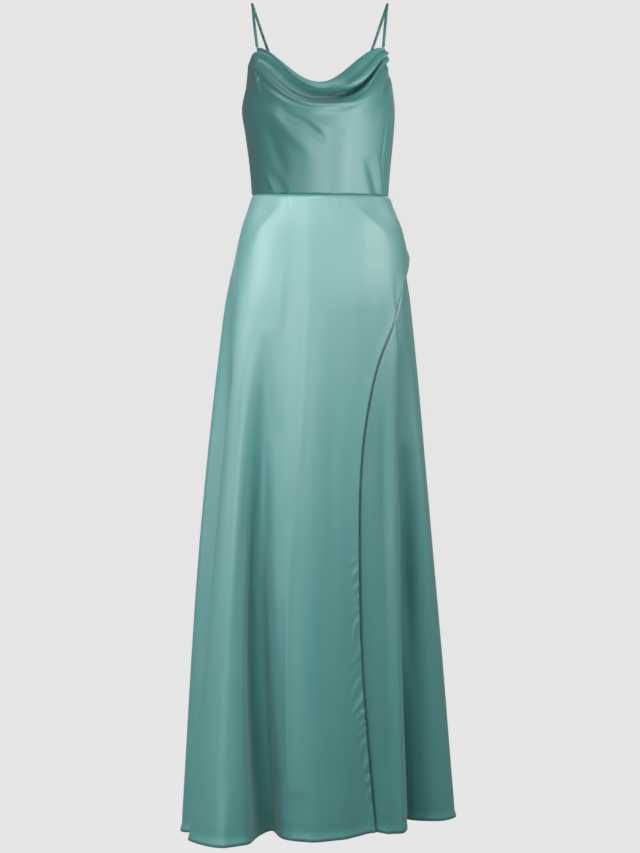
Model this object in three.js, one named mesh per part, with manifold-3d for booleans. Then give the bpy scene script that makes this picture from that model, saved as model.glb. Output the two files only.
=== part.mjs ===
// Floor-length satin evening gown with a cowl neck, spaghetti straps and a wrapped skirt front.
// Millimetres, +Z up, the front faces -Y. The origin is midway between the undersides of the two
// strap tops, where the shoulders carry the gown. Left and right are the wearer's: left is +X.
import * as THREE from "three";
import { mergeVertices } from "three/addons/utils/BufferGeometryUtils.js";
import Module from "manifold-3d";

const wasm = await Module();
wasm.setup();

// Driving sizes
const CLOTH = 2.0;
const SEAM_GAP = 0.3;
const WAIST_Z = -348;
const WAIST_DIP = 5.5;
const WAIST_LEAN = 1.8;
const UPPER_HIP_Z = -440;
const HIP_Z = -560;
const MID_Z = -950;
const HEM_Z = -1498;
const HIP_CORNER_Z = -452;
const WRAP_LIFT = 4.2;
const WRAP_LIFT_FROM = 5.6;
const WRAP_LIFT_FULL = 7.4;
const STRAP_RADIUS = 2.2;
const ZIP_END_Z = -520;
const HEM_LIFT_POWER = 5;
const SEARCH_STEPS = 30;

// Half sizes of the oval sections at the waist and the upper hip.
const WAIST = { left: 123.5, right: 123.5, front: 98, back: 82 };
const UPPER_HIP = { left: 150, right: 150, front: 112, back: 108 };

// Fold lines of the skirt, once round the figure, from the right side seam across the front.
// angle places a line on the waist; x and y follow it down at hip, mid and hem; lift raises the hem.
const FOLD_LINES = [
  { name: "right seam", angle: -96, hip: [-176, 5], mid: [-217, 0], hem: [-252, -5], lift: -4 },
  { name: "right groove", angle: -78, hip: [-156, -38], mid: [-172, -42], hem: [-206, -48], lift: 0 },
  { name: "right flank", angle: -64, hip: [-148, -67], mid: [-185, -86], hem: [-234, -98], lift: 0 },
  { name: "right fold", angle: -50, hip: [-128, -87], mid: [-152, -129], hem: [-179, -168], lift: -4 },
  { name: "right fold inner", angle: -38, hip: [-103, -103], mid: [-129, -122], hem: [-131, -160], lift: -1 },
  { name: "front valley", angle: -27, hip: [-76, -114], mid: [-106, -107], hem: [-86, -54], lift: 6 },
  { name: "centre flank", angle: -16, hip: [-46, -121], mid: [-64, -133], hem: [-55, -118], lift: 1 },
  { name: "centre fold", angle: -5, hip: [-14, -125], mid: [-22, -140], hem: [-16, -134], lift: 0 },
  { name: "centre fold left", angle: 8, hip: [26, -124], mid: [22, -133], hem: [38, -119], lift: 2 },
  { name: "slit line", angle: 22, hip: [62, -116], mid: [64, -119], hem: [93, -76], lift: 7 },
  { name: "under fold", angle: 36, hip: [95, -101], mid: [104, -101], hem: [130, -66], lift: 1 },
  { name: "under flank", angle: 50, hip: [121, -82], mid: [132, -74], hem: [149, -24], lift: 5 },
  { name: "left groove", angle: 63, hip: [139, -62], mid: [145, -27], hem: [147, 66], lift: 8 },
  { name: "left fold front", angle: 74, hip: [150, -44], mid: [167, -17], hem: [176, 42], lift: 8 },
  { name: "left fold", angle: 84, hip: [159, -22], mid: [190, -10], hem: [222, 38], lift: 8 },
  { name: "left seam", angle: 96, hip: [166, 8], mid: [204, 28], hem: [251, 74], lift: 10 },
  { name: "back left flank", angle: 112, hip: [155, 52], mid: [188, 86], hem: [224, 134], lift: 4 },
  { name: "back left valley", angle: 126, hip: [136, 79], mid: [147, 108], hem: [166, 134], lift: 4 },
  { name: "back left fold", angle: 140, hip: [108, 104], mid: [120, 141], hem: [136, 198], lift: 0 },
  { name: "back left inner", angle: 156, hip: [68, 122], mid: [76, 142], hem: [84, 170], lift: 3 },
  { name: "back centre left", angle: 172, hip: [23, 130], mid: [28, 152], hem: [34, 212], lift: 0 },
  { name: "back centre right", angle: 188, hip: [-23, 130], mid: [-24, 148], hem: [-28, 180], lift: 3 },
  { name: "back right inner", angle: 204, hip: [-68, 122], mid: [-80, 147], hem: [-92, 207], lift: 0 },
  { name: "back right valley", angle: 220, hip: [-108, 104], mid: [-118, 126], hem: [-138, 150], lift: 3 },
  { name: "back right fold", angle: 236, hip: [-141, 76], mid: [-166, 106], hem: [-200, 152], lift: 0 },
  { name: "back right flank", angle: 250, hip: [-163, 44], mid: [-196, 56], hem: [-233, 76], lift: 2 },
];
const LEFT_SEAM = 15;
const CENTRE_BACK = 20.5;
const LINE_COUNT = FOLD_LINES.length;
const RIGHT_SEAM_AGAIN = LINE_COUNT;
const UNDERLAP_EDGE = 7.5;

// The wrapped front's free edge: how far it lies from the centre at each height.
const SLIT_EDGE = [
  { z: -474, x: 157 },
  { z: -511, x: 144 },
  { z: -571, x: 129 },
  { z: -660, x: 99 },
  { z: -757, x: 80 },
  { z: -860, x: 70 },
  { z: -994, x: 68 },
  { z: -1124, x: 70 },
  { z: -1232, x: 75 },
  { z: -1319, x: 82 },
  { z: HEM_Z, x: 98 },
];

// Sections of the bodice where its side seams run, and how deep the back is there.
const BODICE_SIDES = [
  { z: WAIST_Z, right: WAIST.right, left: WAIST.left, back: WAIST.back },
  { z: -300, right: 127, left: 127, back: 84 },
  { z: -240, right: 135, left: 133, back: 90 },
  { z: -190, right: 142, left: 136, back: 94 },
  { z: -150, right: 135, left: 132, back: 94 },
];
const UNDERARM_Z = -150;
const BACK_TOP_DIP = 14;

// Rows of the bodice front from the waist to the neckline. A row arches between its two ends on the
// side seam or armhole; left and right shift it halfway to each side.
const FRONT_ROWS = [
  { name: "waist", endZ: -348, endY: 0, midZ: -353.5, midY: -98, arc: 90, right: [0, 0], left: [0, 0] },
  { name: "ribs", endZ: -300, endY: 0, midZ: -306, midY: -110, arc: 90, right: [0, 2], left: [0, -1] },
  { name: "under bust", endZ: -240, endY: 0, midZ: -262, midY: -122, arc: 90, right: [0, 0], left: [0, -2] },
  { name: "bust", endZ: -190, endY: 0, midZ: -236, midY: -130, arc: 90, right: [0, -3], left: [0, -5] },
  { name: "underarm", endZ: -150, endY: 0, midZ: -218, midY: -132, arc: 90, right: [0, -5], left: [-6, -8] },
  { name: "lower crest", endZ: -116, endY: -38, midZ: -199, midY: -136, arc: 66, right: [-6, -5], left: [-18, -12] },
  { name: "valley", endZ: -101, endY: -56, midZ: -178, midY: -101, arc: 60, right: [-3, 2], left: [-14, -8] },
  { name: "upper crest", endZ: -94, endY: -66, midZ: -165, midY: -120, arc: 56, right: [5, 5], left: [-22, -12] },
  { name: "neckline", endZ: -88, endY: -70, midZ: -154.5, midY: -112, arc: 55, right: [2, 3], left: [7, 2] },
];
const STRAP_CORNER = { right: -113.8, left: 115.2, y: -70, z: -88 };
// How far the armhole edges bow inwards at their middle
const ARMHOLE_BOW = 5;

const radians = THREE.MathUtils.degToRad;
const mix = THREE.MathUtils.lerp;

// A smooth curve through values at rising or falling stations, read at one place.
function through(stations, values, place) {
  const last = stations.length - 1;
  const forward = stations[last] > stations[0];
  let i = 0;
  while (i < last - 1 && (forward ? place > stations[i + 1] : place < stations[i + 1])) i += 1;
  const slope = (k) => {
    const a = Math.max(k - 1, 0);
    const b = Math.min(k + 1, last);
    return (values[b] - values[a]) / (stations[b] - stations[a]);
  };
  const span = stations[i + 1] - stations[i];
  const t = THREE.MathUtils.clamp((place - stations[i]) / span, 0, 1);
  const t2 = t * t;
  const t3 = t2 * t;
  return (
    (2 * t3 - 3 * t2 + 1) * values[i] +
    (t3 - 2 * t2 + t) * span * slope(i) +
    (-2 * t3 + 3 * t2) * values[i + 1] +
    (t3 - t2) * span * slope(i + 1)
  );
}

function ellipsePoint(size, degrees) {
  const angle = radians(degrees);
  const across = Math.sin(angle);
  const along = -Math.cos(angle);
  return [
    across * (across > 0 ? size.left : size.right),
    along * (along > 0 ? size.back : size.front),
  ];
}

// Height of the waist seam at an angle round the figure: it dips at the front and leans a little.
function waistHeight(degrees) {
  const angle = radians(degrees);
  const front = Math.max(Math.cos(angle), 0);
  return WAIST_Z - WAIST_DIP * front * front - WAIST_LEAN * Math.sin(angle);
}

const LEVELS = [WAIST_Z, UPPER_HIP_Z, HIP_Z, MID_Z, HEM_Z];
const lineTracks = FOLD_LINES.map((line) => {
  const points = [
    ellipsePoint(WAIST, line.angle),
    ellipsePoint(UPPER_HIP, line.angle),
    line.hip,
    line.mid,
    line.hem,
  ];
  return { x: points.map((p) => p[0]), y: points.map((p) => p[1]) };
});

const sectionCache = new Map();
// The closed section of the skirt at one height, through all the fold lines.
function skirtSection(z) {
  if (!sectionCache.has(z)) {
    const points = lineTracks.map(
      (track) => new THREE.Vector3(through(LEVELS, track.x, z), through(LEVELS, track.y, z), 0),
    );
    sectionCache.set(z, new THREE.CatmullRomCurve3(points, true, "centripetal"));
  }
  return sectionCache.get(z);
}

// A value of the fold lines' table, read smoothly between two lines.
function betweenLines(line, read) {
  const low = Math.floor(line);
  const t = THREE.MathUtils.smoothstep(line - low, 0, 1);
  return mix(read((low + LINE_COUNT) % LINE_COUNT), read((low + 1) % LINE_COUNT), t);
}

// The angle on the waist of a place between two fold lines.
function lineAngle(line) {
  const place = THREE.MathUtils.euclideanModulo(line, LINE_COUNT);
  const low = Math.floor(place);
  const high = (low + 1) % LINE_COUNT;
  return mix(FOLD_LINES[low].angle, FOLD_LINES[high].angle + (high === 0 ? 360 : 0), place - low);
}

// How far down the skirt a level lies, from 0 at the waist to 1 at the hem.
const drop = (level) => (level - WAIST_Z) / (HEM_Z - WAIST_Z);

// A point of the skirt cloth's outside: line counts the fold lines, level is a height.
function skirtPoint(line, level, lift = 0) {
  const curve = skirtSection(level);
  const t = THREE.MathUtils.euclideanModulo(line, LINE_COUNT) / LINE_COUNT;
  const flat = curve.getPoint(t);
  const tangent = curve.getTangent(t);
  const dip = waistHeight(lineAngle(line)) - WAIST_Z;
  const fade = THREE.MathUtils.smoothstep(level, UPPER_HIP_Z, WAIST_Z);
  const hemLift = betweenLines(line, (i) => FOLD_LINES[i].lift) * drop(level) ** HEM_LIFT_POWER;
  return new THREE.Vector3(
    flat.x + tangent.y * lift,
    flat.y - tangent.x * lift,
    level + dip * fade + hemLift,
  );
}

// The wrapped front stands off the panel beneath it.
function wrapPoint(line, level) {
  const lift = WRAP_LIFT * THREE.MathUtils.smoothstep(line, WRAP_LIFT_FROM, WRAP_LIFT_FULL);
  return skirtPoint(line, level, lift);
}

// A closed wall from a surface function: at(u, v) for u, v from 0 to 1, thickened inwards.
// trim keeps each point on its own side of a seam.
function wall(at, columns, rows, thickness = CLOTH, trim = (point) => point) {
  const step = 1e-3;
  const outer = [];
  const inner = [];
  for (let j = 0; j <= rows; j += 1) {
    for (let i = 0; i <= columns; i += 1) {
      const u = i / columns;
      const v = j / rows;
      const here = at(u, v);
      const along = at(Math.min(u + step, 1), v).sub(at(Math.max(u - step, 0), v));
      const down = at(u, Math.min(v + step, 1)).sub(at(u, Math.max(v - step, 0)));
      const normal = new THREE.Vector3().crossVectors(down, along).normalize();
      outer.push(trim(here));
      inner.push(trim(here.clone().addScaledVector(normal, -thickness)));
    }
  }
  const wide = columns + 1;
  const total = outer.length;
  const faces = [];
  const quad = (a, b, c, d) => faces.push(a, b, c, a, c, d);
  for (let j = 0; j < rows; j += 1) {
    for (let i = 0; i < columns; i += 1) {
      const a = j * wide + i;
      quad(a, a + wide, a + wide + 1, a + 1);
      quad(total + a, total + a + 1, total + a + wide + 1, total + a + wide);
    }
  }
  for (let i = 0; i < columns; i += 1) {
    const top = i;
    const bottom = rows * wide + i;
    quad(top, top + 1, total + top + 1, total + top);
    quad(bottom + 1, bottom, total + bottom, total + bottom + 1);
  }
  for (let j = 0; j < rows; j += 1) {
    const start = j * wide;
    const end = j * wide + columns;
    quad(start + wide, start, total + start, total + start + wide);
    quad(end, end + wide, total + end + wide, total + end);
  }
  const geometry = new THREE.BufferGeometry();
  const points = [...outer, ...inner].flatMap((p) => [p.x, p.y, p.z]);
  geometry.setAttribute("position", new THREE.Float32BufferAttribute(points, 3));
  geometry.setIndex(faces);
  geometry.computeVertexNormals();
  return geometry;
}

// Rows of a skirt panel: a few above the hip corner, the rest even down to the hem.
const ROWS_ABOVE_CORNER = 3;
const ROWS_BELOW_CORNER = 16;
const SKIRT_ROWS = ROWS_ABOVE_CORNER + ROWS_BELOW_CORNER;
const COLUMNS_PER_LINE = 3;

function skirtLevel(v) {
  const row = v * SKIRT_ROWS;
  if (row <= ROWS_ABOVE_CORNER) {
    return mix(WAIST_Z - SEAM_GAP / 2, HIP_CORNER_Z, row / ROWS_ABOVE_CORNER);
  }
  return mix(HIP_CORNER_Z, HEM_Z, (row - ROWS_ABOVE_CORNER) / ROWS_BELOW_CORNER);
}

// Half the seam gap, measured in fold lines at one place of the skirt.
function seamMargin(surface, line, level) {
  const probe = 0.01;
  const width = surface(line + probe, level).distanceTo(surface(line - probe, level));
  return (SEAM_GAP / 2) * ((2 * probe) / width);
}

// A skirt panel between two fold lines, its edges held back from the seams.
function skirtPanel(surface, from, to) {
  const at = (u, v) => {
    const level = skirtLevel(v);
    const first = from + seamMargin(surface, from, level);
    const last = to - seamMargin(surface, to, level);
    return surface(THREE.MathUtils.clamp(mix(from, to, u), first, last), level);
  };
  return wall(at, Math.round((to - from) * COLUMNS_PER_LINE), SKIRT_ROWS);
}

function bodiceSide(z) {
  const stations = BODICE_SIDES.map((row) => row.z);
  const read = (key) => through(stations, BODICE_SIDES.map((row) => row[key]), z);
  return { right: read("right"), left: read("left"), back: read("back") };
}

// Where a row of the bodice front ends: on the side seam below the underarm, on the armhole above.
function frontEnd(row, side) {
  const sign = side === "left" ? 1 : -1;
  if (row.endZ <= UNDERARM_Z) {
    const section = bodiceSide(row.endZ);
    return sign * section[side];
  }
  const section = bodiceSide(UNDERARM_Z);
  const t = (row.endZ - UNDERARM_Z) / (STRAP_CORNER.z - UNDERARM_Z);
  const bow = Math.sin(Math.PI * t) * ARMHOLE_BOW;
  return mix(sign * section[side], STRAP_CORNER[side], t) - sign * bow;
}

function frontRowPoint(row, s) {
  const arc = radians(row.arc);
  const side = s > 0 ? "left" : "right";
  const across = (Math.sin(arc * Math.abs(s)) / Math.sin(arc)) * frontEnd(row, side);
  const hollow = (Math.cos(arc * s) - Math.cos(arc)) / (1 - Math.cos(arc));
  const swag = (1 - Math.cos(Math.PI * s)) / 2;
  const shift = Math.sin(Math.PI * s) ** 2;
  const lean = row.name === "waist" ? -WAIST_LEAN * Math.sin(arc * s) : 0;
  return new THREE.Vector3(
    across,
    mix(row.endY, row.midY, hollow) + row[side][1] * shift,
    mix(row.midZ, row.endZ, swag) + row[side][0] * shift + lean,
  );
}

// The bodice front's outside: u runs from the right side to the left, v from neckline to waist.
function bodiceFrontPoint(u, v) {
  const s = 2 * u - 1;
  const points = FRONT_ROWS.map((row) => frontRowPoint(row, s));
  points[0].z += SEAM_GAP / 2;
  const curve = new THREE.CatmullRomCurve3(points.reverse(), false, "centripetal");
  return curve.getPoint(v);
}

// The bodice back's outside at an angle: 0 is the right seam, 1 the left, v from the top to the waist.
function bodiceBackPoint(across, v) {
  const angle = radians(mix(-90, 90, across));
  const top = UNDERARM_Z - BACK_TOP_DIP * Math.cos(angle) ** 2;
  const lean = -WAIST_LEAN * Math.sin(angle);
  const z = mix(top, WAIST_Z + lean + SEAM_GAP / 2, v);
  const section = bodiceSide(z);
  const half = angle > 0 ? section.left : section.right;
  return new THREE.Vector3(
    half * Math.sin(angle),
    section.back * Math.cos(angle),
    z,
  );
}

const BODICE_GRID = { frontColumns: 34, frontRows: 20, backColumns: 14, backRows: 9 };

function bodiceFront() {
  const trim = (point) => point.setY(Math.min(point.y, -SEAM_GAP / 2));
  return wall(bodiceFrontPoint, BODICE_GRID.frontColumns, BODICE_GRID.frontRows, CLOTH, trim);
}

function bodiceBack(side) {
  const left = side === "left";
  const at = (u, v) => bodiceBackPoint(left ? mix(1, 0.5, u) : mix(0.5, 0, u), v);
  const trim = (point) => {
    point.y = Math.max(point.y, SEAM_GAP / 2);
    point.x = left ? Math.max(point.x, SEAM_GAP / 2) : Math.min(point.x, -SEAM_GAP / 2);
    return point;
  };
  return wall(at, BODICE_GRID.backColumns, BODICE_GRID.backRows, CLOTH, trim);
}

// A strap's centre line over the shoulder, from the front of the body to the back.
const STRAP_ROUTE = [
  { name: "collarbone", x: 117.6, y: -51, z: -44 },
  { name: "shoulder front", x: 121.3, y: -26, z: -6.8 },
  { name: "shoulder top", x: 123, y: 0, z: STRAP_RADIUS },
  { name: "shoulder back", x: 117.8, y: 23, z: -11 },
  { name: "shoulder blade", x: 103.6, y: 48, z: -51 },
  { name: "above the back", x: 84, y: 68, z: -106 },
];
const STRAP = { backAcross: 0.337, footRise: 1.4, footIn: 1.5, footDepth: 0.5, steps: 34, sides: 8 };

function strap(side) {
  const sign = side === "left" ? 1 : -1;
  const backEdge = bodiceBackPoint(side === "left" ? 1 - STRAP.backAcross : STRAP.backAcross, 0);
  const frontFoot = new THREE.Vector3(
    STRAP_CORNER[side] - sign * STRAP.footIn,
    STRAP_CORNER.y + STRAP.footDepth,
    STRAP_CORNER.z + STRAP.footRise,
  );
  const backFoot = backEdge.clone().add(new THREE.Vector3(0, -CLOTH / 2, STRAP.footRise));
  const overShoulder = STRAP_ROUTE.map((point) => new THREE.Vector3(sign * point.x, point.y, point.z));
  const route = new THREE.CatmullRomCurve3([frontFoot, ...overShoulder, backFoot], false, "centripetal");
  const section = new THREE.Shape(
    Array.from({ length: STRAP.sides }, (_, i) => {
      const angle = ((i + 0.5) * 2 * Math.PI) / STRAP.sides;
      return new THREE.Vector2(STRAP_RADIUS * Math.cos(angle), STRAP_RADIUS * Math.sin(angle));
    }),
  );
  return new THREE.ExtrudeGeometry(section, {
    steps: STRAP.steps,
    extrudePath: route,
    bevelEnabled: false,
  });
}

// How far back the outside of the back panels lies, a little way across from the centre back.
function backDepth(x, z) {
  if (z > WAIST_Z) {
    const section = bodiceSide(z);
    return section.back * Math.sqrt(1 - (x / section.left) ** 2);
  }
  let leftLine = Math.floor(CENTRE_BACK);
  let rightLine = leftLine + 1;
  for (let step = 0; step < SEARCH_STEPS; step += 1) {
    const middle = (leftLine + rightLine) / 2;
    if (skirtPoint(middle, z).x > x) leftLine = middle;
    else rightLine = middle;
  }
  return skirtPoint(leftLine, z).y;
}

// Concealed zip: its closed tape lies inside the centre back seam.
const ZIP = { width: 22, thickness: 1.2, gap: 0.6, topMargin: 3, bodiceRows: 9, skirtRows: 9, columns: 4 };

function zipTape() {
  const top = UNDERARM_Z - BACK_TOP_DIP - ZIP.topMargin;
  const rows = ZIP.bodiceRows + ZIP.skirtRows;
  const at = (u, v) => {
    const row = v * rows;
    const z =
      row <= ZIP.bodiceRows
        ? mix(top, WAIST_Z, row / ZIP.bodiceRows)
        : mix(WAIST_Z, ZIP_END_Z, (row - ZIP.bodiceRows) / ZIP.skirtRows);
    const x = mix(ZIP.width / 2, -ZIP.width / 2, u);
    return new THREE.Vector3(x, backDepth(x, z) - CLOTH - ZIP.gap, z);
  };
  return wall(at, ZIP.columns, rows, ZIP.thickness);
}

function solidOf(geometry) {
  const plain = geometry.clone();
  plain.deleteAttribute("normal");
  plain.deleteAttribute("uv");
  const merged = mergeVertices(plain, 1e-4);
  const mesh = new wasm.Mesh({
    numProp: 3,
    vertProperties: merged.attributes.position.array,
    triVerts: new Uint32Array(merged.index.array),
  });
  return new wasm.Manifold(mesh);
}

function geometryOf(solid) {
  const mesh = solid.getMesh();
  const geometry = new THREE.BufferGeometry();
  geometry.setAttribute("position", new THREE.BufferAttribute(mesh.vertProperties.slice(), 3));
  geometry.setIndex(new THREE.BufferAttribute(mesh.triVerts.slice(), 1));
  geometry.computeVertexNormals();
  return geometry;
}

function block(width, depth, height, x, y, z) {
  return solidOf(new THREE.BoxGeometry(width, depth, height).translate(x, y, z));
}

const BAR_SIDES = 20;

// A round bar along X.
function bar(radius, length, x, y, z) {
  const geometry = new THREE.CylinderGeometry(radius, radius, length, BAR_SIDES);
  return solidOf(geometry.rotateZ(Math.PI / 2).translate(x, y, z));
}

// The wrapped front runs to the left side seam at the hip; below that its free edge is cut away.
const CUT = { steps: 30, far: 400, below: HEM_Z - 60 };

function wrappedFront() {
  const edge = Array.from({ length: CUT.steps + 1 }, (_, i) => {
    const z = mix(HIP_CORNER_Z, HEM_Z, i / CUT.steps);
    const x = through(SLIT_EDGE.map((row) => row.z), SLIT_EDGE.map((row) => row.x), z);
    return new THREE.Vector2(x, z);
  });
  const last = edge[CUT.steps];
  const outline = new THREE.Shape([
    ...edge,
    new THREE.Vector2(last.x, CUT.below),
    new THREE.Vector2(CUT.far, CUT.below),
    new THREE.Vector2(CUT.far, HIP_CORNER_Z),
  ]);
  const cutter = new THREE.ExtrudeGeometry(outline, { depth: 2 * CUT.far, bevelEnabled: false });
  cutter.rotateX(Math.PI / 2).translate(0, CUT.far, 0);
  return geometryOf(solidOf(skirtPanel(wrapPoint, 0, LEFT_SEAM)).subtract(solidOf(cutter)));
}

// Zip slider on the outside of the centre back: a base, two ears and the pin the pull hangs on.
const SLIDER = {
  belowTop: 9,
  width: 6.4,
  height: 9,
  base: 1.6,
  earWidth: 1.1,
  earHeight: 3.2,
  earPastPin: 0.6,
  pin: 0.75,
  pinRise: 1.5,
  pinStandOff: 2.3,
};
const SLIDER_Z = UNDERARM_Z - BACK_TOP_DIP - SLIDER.belowTop;
const SLIDER_SEAT = backDepth(0, SLIDER_Z - SLIDER.height / 2) + SEAM_GAP;
const PIVOT = { y: SLIDER_SEAT + SLIDER.base + SLIDER.pinStandOff, z: SLIDER_Z + SLIDER.pinRise };

function zipSlider() {
  const baseY = SLIDER_SEAT + SLIDER.base / 2;
  const base = block(SLIDER.width, SLIDER.base, SLIDER.height, 0, baseY, SLIDER_Z);
  const earX = (SLIDER.width - SLIDER.earWidth) / 2;
  const earDepth = PIVOT.y + SLIDER.pin + SLIDER.earPastPin - SLIDER_SEAT;
  const earY = SLIDER_SEAT + earDepth / 2;
  const ears = [-1, 1].map((sign) =>
    block(SLIDER.earWidth, earDepth, SLIDER.earHeight, sign * earX, earY, PIVOT.z),
  );
  const pin = bar(SLIDER.pin, SLIDER.width - SLIDER.earWidth, 0, PIVOT.y, PIVOT.z);
  return geometryOf(base.add(ears[0]).add(ears[1]).add(pin));
}

// The pull: a knuckle round the pin and a drop-shaped tab that hangs from it.
const PULL = { width: 3.6, knuckle: 1.9, hole: 1.1, length: 15, neck: 3.5, tipWidth: 5.2, thickness: 1.3 };

function zipPull() {
  const half = PULL.width / 2;
  const tip = PULL.tipWidth / 2;
  const middle = -PULL.length / 2;
  const outline = new THREE.Shape();
  outline.moveTo(-half, 0);
  outline.lineTo(-half, -PULL.neck);
  outline.quadraticCurveTo(-tip, middle, -tip, tip - PULL.length);
  outline.absarc(0, tip - PULL.length, tip, Math.PI, 2 * Math.PI);
  outline.quadraticCurveTo(tip, middle, half, -PULL.neck);
  outline.lineTo(half, 0);
  const tab = new THREE.ExtrudeGeometry(outline, {
    depth: PULL.thickness,
    bevelEnabled: false,
    curveSegments: 8,
  });
  tab.rotateX(Math.PI / 2).translate(0, PIVOT.y + PULL.thickness / 2, PIVOT.z);
  const knuckle = bar(PULL.knuckle, PULL.width, 0, PIVOT.y, PIVOT.z);
  const hole = bar(PULL.hole, 2 * PULL.width, 0, PIVOT.y, PIVOT.z);
  return geometryOf(solidOf(tab).add(knuckle).subtract(hole));
}

const satin = (name, color) => {
  const material = new THREE.MeshStandardMaterial({ color, roughness: 0.38, metalness: 0 });
  material.name = name;
  return material;
};
const bodiceSatin = satin("bodice satin", 0x5f9f98);
const skirtSatin = satin("skirt satin", 0x76aaa5);
const strapSatin = satin("strap satin", 0x5a8a83);
const tapeCloth = satin("zip tape", 0x548f88);
const coatedMetal = new THREE.MeshStandardMaterial({ color: 0x4f8580, roughness: 0.3, metalness: 0.4 });

const gown = new THREE.Group();
gown.name = "evening_gown";

function addPiece(name, geometry, material) {
  const mesh = new THREE.Mesh(geometry, material);
  mesh.name = name;
  gown.add(mesh);
}

addPiece("bodice_front", bodiceFront(), bodiceSatin);
addPiece("bodice_back_right", bodiceBack("right"), bodiceSatin);
addPiece("bodice_back_left", bodiceBack("left"), bodiceSatin);
addPiece("skirt_front_wrap", wrappedFront(), skirtSatin);
addPiece("skirt_underlap", skirtPanel(skirtPoint, UNDERLAP_EDGE, LEFT_SEAM), skirtSatin);
addPiece("skirt_back_left", skirtPanel(skirtPoint, LEFT_SEAM, CENTRE_BACK), skirtSatin);
addPiece("skirt_back_right", skirtPanel(skirtPoint, CENTRE_BACK, RIGHT_SEAM_AGAIN), skirtSatin);
addPiece("strap_right", strap("right"), strapSatin);
addPiece("strap_left", strap("left"), strapSatin);
addPiece("zip_tape", zipTape(), tapeCloth);
addPiece("zip_slider", zipSlider(), coatedMetal);
addPiece("zip_pull", zipPull(), coatedMetal);

export default gown;
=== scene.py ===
# Floor-length satin evening gown: cowl neck, narrow straps, waist seam and a wrapped skirt front.
# Tables are in millimetres, in the frame of the solids: +Z up, the front faces -Y, +X is the
# wearer's left. Cloth pieces are grids laid on the same surfaces as the solids' outer walls.
import math

import bmesh
import bpy
import numpy as np
from mathutils import Matrix, Vector


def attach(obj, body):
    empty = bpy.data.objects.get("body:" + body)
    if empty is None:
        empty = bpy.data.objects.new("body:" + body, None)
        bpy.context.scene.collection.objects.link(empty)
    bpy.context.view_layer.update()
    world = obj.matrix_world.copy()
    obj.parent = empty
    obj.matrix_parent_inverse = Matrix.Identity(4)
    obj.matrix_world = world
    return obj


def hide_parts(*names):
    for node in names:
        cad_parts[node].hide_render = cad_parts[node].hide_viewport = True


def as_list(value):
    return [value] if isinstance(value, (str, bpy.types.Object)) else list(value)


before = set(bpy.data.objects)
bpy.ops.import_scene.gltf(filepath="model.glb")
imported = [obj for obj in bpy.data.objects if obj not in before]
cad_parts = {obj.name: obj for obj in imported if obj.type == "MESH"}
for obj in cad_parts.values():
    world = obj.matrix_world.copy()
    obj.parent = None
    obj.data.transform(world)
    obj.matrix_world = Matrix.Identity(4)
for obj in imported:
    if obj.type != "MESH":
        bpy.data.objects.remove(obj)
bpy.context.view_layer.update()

MM = 0.001

# Driving sizes
CLOTH = 0.9
SEAM_GAP = 0.3
WAIST_Z = -348
WAIST_DIP = 5.5
WAIST_LEAN = 1.8
UPPER_HIP_Z = -440
HIP_CORNER_Z = -452
HIP_Z = -560
MID_Z = -950
HEM_Z = -1498
HEM_LIFT_POWER = 5
WRAP_LIFT = 4.2
WRAP_LIFT_FROM = 5.6
WRAP_LIFT_FULL = 7.4
UNDERARM_Z = -150
BACK_TOP_DIP = 14
ARMHOLE_BOW = 7
ARMHOLE_SKEW = 1.6
ZIP_END_Z = -520
STRAP_RADIUS = 2.2

# Half sizes of the oval sections at the waist and the upper hip
WAIST = {"left": 123.5, "right": 123.5, "front": 98, "back": 82}
UPPER_HIP = {"left": 150, "right": 150, "front": 112, "back": 108}

# Fold lines of the skirt, once round: angle on the waist, then x, y at hip, mid and hem, and hem lift
FOLD_LINES = [
    ("right seam", -96, (-176, 5), (-217, 0), (-252, -5), -4),
    ("right groove", -78, (-156, -38), (-172, -42), (-206, -48), 0),
    ("right flank", -64, (-148, -67), (-185, -86), (-234, -98), 0),
    ("right fold", -50, (-128, -87), (-152, -129), (-179, -168), -4),
    ("right fold inner", -38, (-103, -103), (-129, -122), (-131, -160), -1),
    ("front valley", -27, (-76, -114), (-106, -107), (-86, -54), 6),
    ("centre flank", -16, (-46, -121), (-64, -133), (-55, -118), 1),
    ("centre fold", -5, (-14, -125), (-22, -140), (-16, -134), 0),
    ("centre fold left", 8, (26, -124), (22, -133), (38, -119), 2),
    ("slit line", 22, (62, -116), (64, -119), (93, -76), 7),
    ("under fold", 36, (95, -101), (104, -101), (130, -66), 1),
    ("under flank", 50, (121, -82), (132, -74), (149, -24), 5),
    ("left groove", 63, (139, -62), (145, -27), (147, 66), 8),
    ("left fold front", 74, (150, -44), (167, -17), (176, 42), 8),
    ("left fold", 84, (159, -22), (190, -10), (222, 38), 8),
    ("left seam", 96, (166, 8), (204, 28), (251, 74), 10),
    ("back left flank", 112, (155, 52), (188, 86), (224, 134), 4),
    ("back left valley", 126, (136, 79), (147, 108), (166, 134), 4),
    ("back left fold", 140, (108, 104), (120, 141), (136, 198), 0),
    ("back left inner", 156, (68, 122), (76, 142), (84, 170), 3),
    ("back centre left", 172, (23, 130), (28, 152), (34, 212), 0),
    ("back centre right", 188, (-23, 130), (-24, 148), (-28, 180), 3),
    ("back right inner", 204, (-68, 122), (-80, 147), (-92, 207), 0),
    ("back right valley", 220, (-108, 104), (-118, 126), (-138, 150), 3),
    ("back right fold", 236, (-141, 76), (-166, 106), (-200, 152), 0),
    ("back right flank", 250, (-163, 44), (-196, 56), (-233, 76), 2),
]
LINE_COUNT = len(FOLD_LINES)
UNDERLAP_EDGE = 7.5
LEFT_SEAM = 15
CENTRE_BACK = 20.5

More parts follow.
